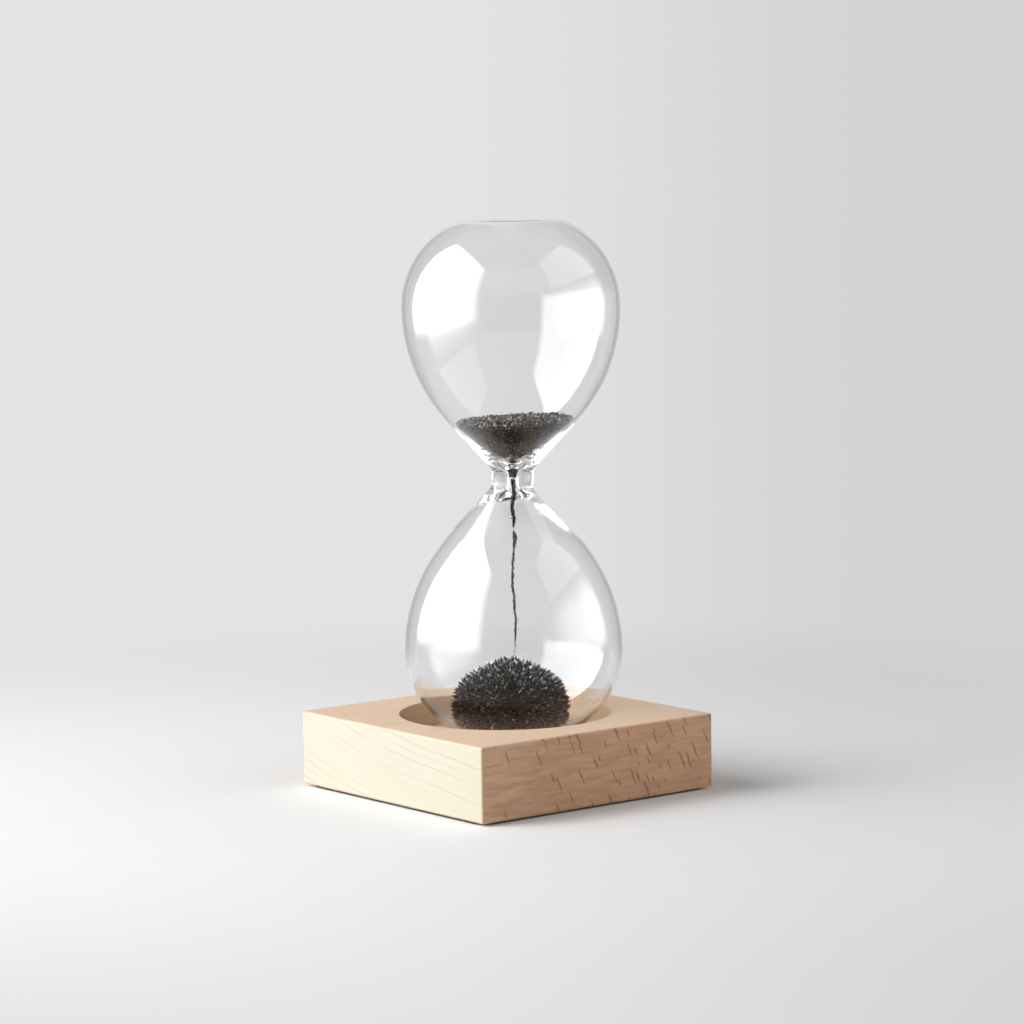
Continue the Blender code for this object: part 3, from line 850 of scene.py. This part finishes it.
def make_reserve(paint):
    """Filings still in the upper bulb: a smooth core that fills its funnel, under a skin of loose grains."""
    chance = random.Random(5)
    wall = [(max(0.5 * MM, radius - RESERVE_SKIN), height) for radius, height in bulb_inner]
    angles = [TAU * s / CORE_SEGMENTS for s in range(CORE_SEGMENTS)]
    vertices = []
    for height in CORE_HEIGHTS:
        radius = radius_at(wall, height)
        vertices += [NECK + around(radius, angle, height) for angle in angles]
    rim = []
    for angle in angles:
        # Four rounds are enough to find the radius at which the rough, tilted surface meets the wall
        radius = radius_at(wall, RESERVE_DEPTH)
        for _ in range(4):
            height = reserve_top(radius * math.cos(angle), radius * math.sin(angle)) - RESERVE_SKIN
            radius = radius_at(wall, height)
        rim.append(radius)
        vertices.append(NECK + around(radius, angle, height))
    for r in range(1, CORE_TOP_RINGS):
        share = 1 - r / CORE_TOP_RINGS
        for radius, angle in zip(rim, angles):
            x, y = radius * share * math.cos(angle), radius * share * math.sin(angle)
            vertices.append(NECK + Vector((x, y, reserve_top(x, y) - RESERVE_SKIN)))
    vertices.append(NECK + Vector((0.0, 0.0, reserve_top(0.0, 0.0) - RESERVE_SKIN)))
    faces = heap_faces(len(CORE_HEIGHTS) + CORE_TOP_RINGS, CORE_SEGMENTS)
    tips = [CORE_SHADE_TIP] * len(vertices)

    widest = radius_at(bulb_inner, RESERVE_DEPTH)
    left = SIDE_GRAINS
    while left > 0:
        height = chance.uniform(0.3, 16.6) * MM
        angle, size = chance.uniform(0.0, TAU), chance.uniform(*SIDE_GRAIN)
        inside = radius_at(bulb_inner, height)
        if chance.random() > inside / widest:
            continue
        left -= 1
        out = max(0.0, inside - 0.04 * MM - size * chance.uniform(1.15, 1.4))
        x, y = out * math.cos(angle), out * math.sin(angle)
        if height < reserve_top(x, y) - size * 0.5:
            add_grain(vertices, faces, NECK + Vector((x, y, height)), size, chance)
            tips += [1.0] * GRAIN_POINTS
    for _ in range(TOP_GRAINS):
        angle, size = chance.uniform(0.0, TAU), chance.uniform(*TOP_GRAIN)
        out = math.sqrt(chance.random()) * (widest - 0.8 * MM)
        x, y = out * math.cos(angle), out * math.sin(angle)
        lift = chance.uniform(-0.9, 0.9)
        add_grain(vertices, faces, NECK + Vector((x, y, reserve_top(x, y) + lift * size)), size, chance)
        tips += [TOP_TIP + TOP_TIP_RANGE * lift] * GRAIN_POINTS
    mesh = mesh_from("funnel_filings", vertices, faces)
    set_tips(mesh, tips)
    piece = new_piece("funnel_filings", mesh, paint)
    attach(piece, "hourglass")
    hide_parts("filings_reserve")


# Width of the falling thread in millimetres, against the share of the fall from the neck down
THREAD = (
    (0.000, 1.30), (0.030, 1.40), (0.055, 1.20), (0.075, 1.40), (0.100, 1.25), (0.125, 1.10), (0.170, 1.15),
    (0.238, 0.95), (0.262, 0.25), (0.285, 0.25), (0.300, 1.20), (0.350, 1.10), (0.365, 0.70), (0.420, 0.75),
    (0.500, 0.60), (0.560, 0.75), (0.640, 0.60), (0.720, 0.72), (0.800, 0.60), (0.880, 0.50), (0.930, 0.30),
    (1.000, 0.20),
)


def thread_width(fall):
    """Width of the thread at a share of its fall."""
    for (low, wide), (high, next_wide) in zip(THREAD, THREAD[1:]):
        if low <= fall <= high:
            return (wide + (next_wide - wide) * (fall - low) / (high - low)) * MM
    return THREAD[-1][1] * MM


def thread_place(fall, length):
    """Middle of the thread: it sways a little as it falls, and ends over the leaning heap."""
    sway = 0.30 * MM * min(1.0, 4 * fall)
    aside = sway * math.sin(9.0 * fall) + 0.08 * MM * math.sin(41.0 * fall)
    across = sway * math.sin(14.0 * fall) + 0.08 * MM * math.sin(53.0 * fall + 1.0)
    return NECK + MOUND_SHIFT * fall * 0.4 + Vector((aside, across, -length * fall))


def make_thread(paint):
    """Falling thread of filings, from the bore to the top of the mound."""
    chance = random.Random(3)
    length = NECK.z - (MOUND_HIGH.z - 0.6 * MM)
    vertices, faces = [], []
    fall = 0.0
    while fall < 1.0:
        wide = thread_width(fall)
        is_thin = wide <= 0.4 * MM
        abreast = 1 if is_thin else 2 if wide <= 0.9 * MM else 4
        for _ in range(abreast):
            thick = min(wide * 0.6, chance.uniform(0.28, 0.50) * MM)
            spread = max(0.0, wide - thick) / 2
            turn, out = chance.uniform(0.0, TAU), spread * math.sqrt(chance.random())
            stray = around(out, turn)
            way = Vector((chance.gauss(0, 0.45), chance.gauss(0, 0.45), -1.0))
            size = chance.uniform(0.5, 1.2) * MM
            add_filing(vertices, faces, thread_place(fall, length) + stray, way, size, thick, chance)
        fall += (0.34 * MM if is_thin else 0.22 * MM) / length
    mesh = mesh_from("filings_thread", vertices, faces)
    piece = new_piece("filings_thread", mesh, paint)
    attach(piece, "hourglass")
    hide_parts("filings_stream")


def dress_node(name, paint):
    """Gives a CAD node that stays visible its finished material."""
    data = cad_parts[name].data
    data.materials.clear()
    data.materials.append(paint)


# Studio: azimuths are relative to the photograph's camera, in degrees, and positive to its right.
# A wall is given by the azimuth of its middle and of its two ends, and the height of its low and high edge.
PANEL_DISTANCE = 0.44
KEY_BEHIND = 0.01
LEFT_WALL = (-82.0, -123.0, -33.5, 0.0, 0.84)
RIGHT_LOW = (80.0, 46.0, 116.0, 0.0, 0.34)
RIGHT_HIGH = (80.0, 46.0, 116.0, 0.34, 0.84)
# Brightness of the walls as lamps, and of the cards that glass and gloss show in their place
LEFT_KEY, LOW_KEY, HIGH_KEY = 1.03, 1.3, 0.5
LEFT_CARD, LOW_CARD, HIGH_CARD = 11.0, 6.4, 2.3
# Boxes: azimuth and height in degrees, distance, side and brightness
SOFT_BOX = (-82.0, 50.0, 0.8, 0.4, 4.0)
LOW_BOX = (-72.0, 24.0, 1.6, 0.7, 9.0)
# How bright a card is at its left, right, low and high edge, and the share of its size that this fades over
LEFT_EDGES = ((1.0, 0.1), (0.25, 0.14), (0.05, 0.10), (0.6, 0.1))
LOW_EDGES = ((0.30, 0.32), (0.35, 0.25), (0.45, 0.2), (0.12, 0.5))
HIGH_EDGES = ((0.8, 0.2), (0.8, 0.2), (1.0, 0.1), (0.8, 0.1))
# Brightness of the background, the floor's paper, which is painted paler to the left as painted light from
# the lamps on that side, and the tent's rear corners, to the left and to the right
LEFT_PALE, RIGHT_PALE = 0.768, 0.655
FLOOR_LEFT, FLOOR_RIGHT = 0.90, 0.835
LEFT_CORNER, RIGHT_CORNER = 0.50, 0.47
# Dark opening for the camera: half its width, its top, its brightness, and where it starts on the floor
DOOR_WIDTH = math.radians(32.5)
DOOR_TOP = math.radians(17.0)
DOOR_DARK = 0.13
DOOR_START = 0.44
AMBIENT = 0.105
FLOOR_SPREAD = 1.05
FLOOR_RADIUS = 4.0
FLOOR_CORNERS = 96
# Light that enters the thick neck is passed on many times inside the glass before it leaves
BOUNCES = 48


def way_at(degrees):
    """Level way from the object to an azimuth."""
    azimuth = CAMERA_AZIMUTH + math.radians(degrees)
    return Vector((math.sin(azimuth), -math.cos(azimuth), 0.0))


def straight(tree):
    """1 for the camera's own rays, also once they have passed through the walls of a bulb, 0 for others."""
    path = add(tree, "ShaderNodeLightPath").outputs
    turned = maths(tree, "ADD", path["Glossy Depth"], path["Diffuse Depth"])
    walls = maths(tree, "GREATER_THAN", path["Transmission Depth"], 3.5)
    through = times(tree, maths(tree, "LESS_THAN", turned, 0.5), walls)
    return maths(tree, "MAXIMUM", path["Is Camera Ray"], through)


def soften(lamp, edges):
    """Makes a card dimmer towards its four edges, as a cloth box over a lamp is. It isn't seen straight
    through the bulbs, and is dim where light is reflected more than once, inside the thick neck."""
    lamp.use_nodes = True
    tree = lamp.node_tree
    spot = parts_of(tree, add(tree, "ShaderNodeNewGeometry").outputs["Parametric"])
    reflected = add(tree, "ShaderNodeLightPath").outputs["Glossy Depth"]
    share = rest_of(tree, straight(tree))
    share = times(tree, share, step(tree, reflected, 1.2, 1.8, 1.0, 0.3))
    for axis, first, second in ((0, edges[0], edges[1]), (1, edges[2], edges[3])):
        share = times(tree, share, step(tree, spot[axis], 0.0, first[1], first[0], 1.0))
        share = times(tree, share, step(tree, spot[axis], 1.0, 1.0 - second[1], second[0], 1.0))
    set_inputs(tree.nodes["Emission"], tree, Strength=share)


def place_lamp(name, lamp, spot, way, is_card):
    """Puts a lamp at a spot, shining against a way. Only a card is seen in glass and gloss, and it lights
    nothing else."""
    holder = bpy.data.objects.new(name, lamp)
    bpy.context.scene.collection.objects.link(holder)
    holder.location = spot
    holder.rotation_mode = "QUATERNION"
    holder.rotation_quaternion = way.to_track_quat("Z", "Y")
    holder.visible_camera = False
    holder.visible_diffuse = not is_card
    holder.visible_glossy = is_card
    holder.visible_transmission = is_card


def make_panel(name, wall, radiance, edges=None):
    """Upright rectangular lamp on a wall of the light tent; one with edges is a card."""
    is_card = edges is not None
    middle, start, end, low, high = wall
    facing = way_at(middle)
    distance = PANEL_DISTANCE if is_card else PANEL_DISTANCE + KEY_BEHIND
    left, right = (PANEL_DISTANCE * math.tan(math.radians(a - middle)) for a in (start, end))
    lamp = bpy.data.lights.new(name, "AREA")
    lamp.shape = "RECTANGLE"
    lamp.size = right - left
    lamp.size_y = high - low
    lamp.energy = radiance * math.pi * lamp.size * lamp.size_y
    if is_card:
        soften(lamp, edges)
    aside = Vector((-facing.y, facing.x, 0.0))
    spot = facing * distance + aside * (left + right) / 2 + Vector((0, 0, (low + high) / 2))
    place_lamp(name, lamp, spot, facing, is_card)


def make_box(name, azimuth, height, distance, size, radiance):
    """Square lamp that points at the object from an azimuth and a height in degrees."""
    lift = math.radians(height)
    way = way_at(azimuth) * math.cos(lift) + Vector((0.0, 0.0, math.sin(lift)))
    lamp = bpy.data.lights.new(name, "AREA")
    lamp.shape = "SQUARE"
    lamp.size = size
    lamp.energy = radiance * math.pi * size**2
    place_lamp(name, lamp, way * distance + Vector((0.0, 0.0, 30 * MM)), way, False)


def towards(tree, way, degrees):
    """Cosine of the angle between an azimuth and the level part of a way."""
    level = vector_maths(tree, "NORMALIZE", vector_maths(tree, "MULTIPLY", way, (1.0, 1.0, 0.0)))
    return vector_maths(tree, "DOT_PRODUCT", level, tuple(way_at(degrees)))


def behind_tone(tree, way):
    """Brightness of the background: paler to the photograph's left, dim in the tent's two rear corners, which
    only reflections and the bent rays in thick glass show."""
    aside = vector_maths(tree, "DOT_PRODUCT", way, tuple(way_at(90.0)))
    tone = step(tree, aside, -0.02, 0.10, LEFT_PALE, RIGHT_PALE)
    rear = towards(tree, way, 180.0)
    corner = times(tree, step(tree, rear, 0.56, 0.64), step(tree, rear, 0.982, 0.962))
    corner = times(tree, corner, rest_of(tree, straight(tree)))
    dim = step(tree, aside, -0.1, 0.1, LEFT_CORNER, RIGHT_CORNER)
    return mix_number(tree, corner, tone, dim)


def door_share(tree, way):
    """1 inside the dark opening that the camera looks through, 0 outside it and for straight rays."""
    share = step(tree, towards(tree, way, 0.0), math.cos(DOOR_WIDTH) - 0.01, math.cos(DOOR_WIDTH) + 0.01)
    return times(tree, share, rest_of(tree, straight(tree)))


def seen_directly(tree):
    """1 for rays from the camera and for those that glass or gloss sends on."""
    path = add(tree, "ShaderNodeLightPath").outputs
    share = maths(tree, "ADD", path["Is Camera Ray"], path["Is Glossy Ray"])
    return maths(tree, "MINIMUM", maths(tree, "ADD", share, path["Is Transmission Ray"]), 1.0)


def make_world():
    """The tent around the object: its walls for rays that look, and an even dim light for the rest."""
    world = bpy.data.worlds.new("studio")
    bpy.context.scene.world = world
    world.use_nodes = True
    tree = world.node_tree
    shader = tree.nodes["Background"]
    way = vector_maths(tree, "NORMALIZE", add(tree, "ShaderNodeTexCoord").outputs["Generated"])
    lift = parts_of(tree, way)[2]
    below = step(tree, lift, math.sin(DOOR_TOP) + 0.01, math.sin(DOOR_TOP) - 0.01)
    door = times(tree, door_share(tree, way), below)
    tone = mix_number(tree, door, behind_tone(tree, way), DOOR_DARK)
    shown = blend(tree, seen_directly(tree), (AMBIENT, AMBIENT, AMBIENT), grey(tree, tone))
    set_inputs(shader, tree, Color=shown, Strength=1.0)


def make_floor():
    """Wide pale floor: it takes the object's shadow, and further out it turns into the even background."""
    made, tree, shader, place = material("studio_paper")
    corners = [around(FLOOR_RADIUS, TAU * s / FLOOR_CORNERS) for s in range(FLOOR_CORNERS)]
    mesh = mesh_from("studio_floor", corners, [tuple(range(FLOOR_CORNERS))])
    floor = new_piece("studio_floor", mesh, made)
    way = vector_maths(tree, "NORMALIZE", place)
    out = vector_maths(tree, "LENGTH", place)
    aside = vector_maths(tree, "DOT_PRODUCT", place, tuple(way_at(90.0)))
    # Painted light: the paper is painted paler to the left, where the lamps stand
    paper = step(tree, aside, -0.08, 0.16, FLOOR_LEFT, FLOOR_RIGHT)
    speck = noise_at(tree, place, 60.0, 3.0)
    paper = times(tree, paper, step(tree, speck, 0.3, 0.7, 0.995, 1.0))
    # Painted shade: beyond DOOR_START the paper is painted darker in the way of the camera's opening, for all
    # but the camera's straight rays
    beyond = step(tree, out, DOOR_START - 0.02, DOOR_START + 0.02)
    door = times(tree, door_share(tree, way), beyond)
    paper = times(tree, paper, rest_of(tree, times(tree, door, 0.8)))
    set_inputs(shader, tree, Base_Color=grey(tree, paper), Roughness=0.9, Specular_IOR_Level=0.1)
    nearer = maths(tree, "DIVIDE", 1.0, maths(tree, "ADD", out, FLOOR_SPREAD))
    tone = behind_tone(tree, vector_maths(tree, "MULTIPLY", place, grey(tree, nearer)))
    tone = mix_number(tree, door, tone, DOOR_DARK)
    glow = add(tree, "ShaderNodeEmission", {"Color": grey(tree, tone), "Strength": 1.0}).outputs[0]
    far = times(tree, step(tree, out, 0.12, 0.34), seen_directly(tree))
    mixed = add(tree, "ShaderNodeMixShader", {0: far, 1: shader.outputs[0], 2: glow}).outputs[0]
    set_inputs(tree.nodes["Material Output"], tree, Surface=mixed)


def make_camera():
    lens = bpy.data.cameras.new("photo_camera")
    lens.lens = CAMERA_LENS
    lens.sensor_width = SENSOR
    lens.clip_start = CAMERA_NEAR_END
    camera = bpy.data.objects.new("photo_camera", lens)
    bpy.context.scene.collection.objects.link(camera)
    right_x, right_y, level = math.cos(CAMERA_AZIMUTH), math.sin(CAMERA_AZIMUTH), math.cos(CAMERA_PITCH)
    right = Vector((right_x, right_y, 0.0))
    back = Vector((right_y * level, -right_x * level, math.sin(CAMERA_PITCH)))
    up = back.cross(right)
    rolled_right = right * math.cos(CAMERA_ROLL) - up * math.sin(CAMERA_ROLL)
    rolled_up = right * math.sin(CAMERA_ROLL) + up * math.cos(CAMERA_ROLL)
    axes = Matrix((rolled_right, rolled_up, back)).transposed()
    camera.matrix_world = Matrix.Translation(CAMERA_PLACE) @ axes.to_4x4()
    bpy.context.scene.camera = camera


make_camera()
make_world()
make_floor()
make_panel("left_key", LEFT_WALL, LEFT_KEY)
make_panel("right_key_low", RIGHT_LOW, LOW_KEY)
make_panel("right_key_high", RIGHT_HIGH, HIGH_KEY)
make_box("soft_box", *SOFT_BOX)
make_box("low_box", *LOW_BOX)
make_panel("left_card", LEFT_WALL, LEFT_CARD, LEFT_EDGES)
make_panel("right_card_low", RIGHT_LOW, LOW_CARD, LOW_EDGES)
make_panel("right_card_high", RIGHT_HIGH, HIGH_CARD, HIGH_EDGES)

make_block(make_beech())
make_glass(make_glass_material())
make_mound(make_iron("iron_needles", NEEDLE_COLOURS, (0.30, 0.46), 0.55, 3.0, paints_wood_reflection=True))
make_reserve(make_iron("iron_grains", GRAIN_COLOURS, (0.45, 0.65), 0.3, 2.6))
make_thread(make_iron("iron_falling", FALLING_COLOURS, (0.35, 0.60), 0.4, 3.0, paints_valley_shade=False))
dress_node("base_magnet", make_nickel())
dress_node("base_pad", make_rubber())

scene = bpy.context.scene
scene.view_settings.view_transform = "Standard"
scene.cycles.max_bounces = BOUNCES
scene.cycles.glossy_bounces = BOUNCES
scene.cycles.transmission_bounces = BOUNCES
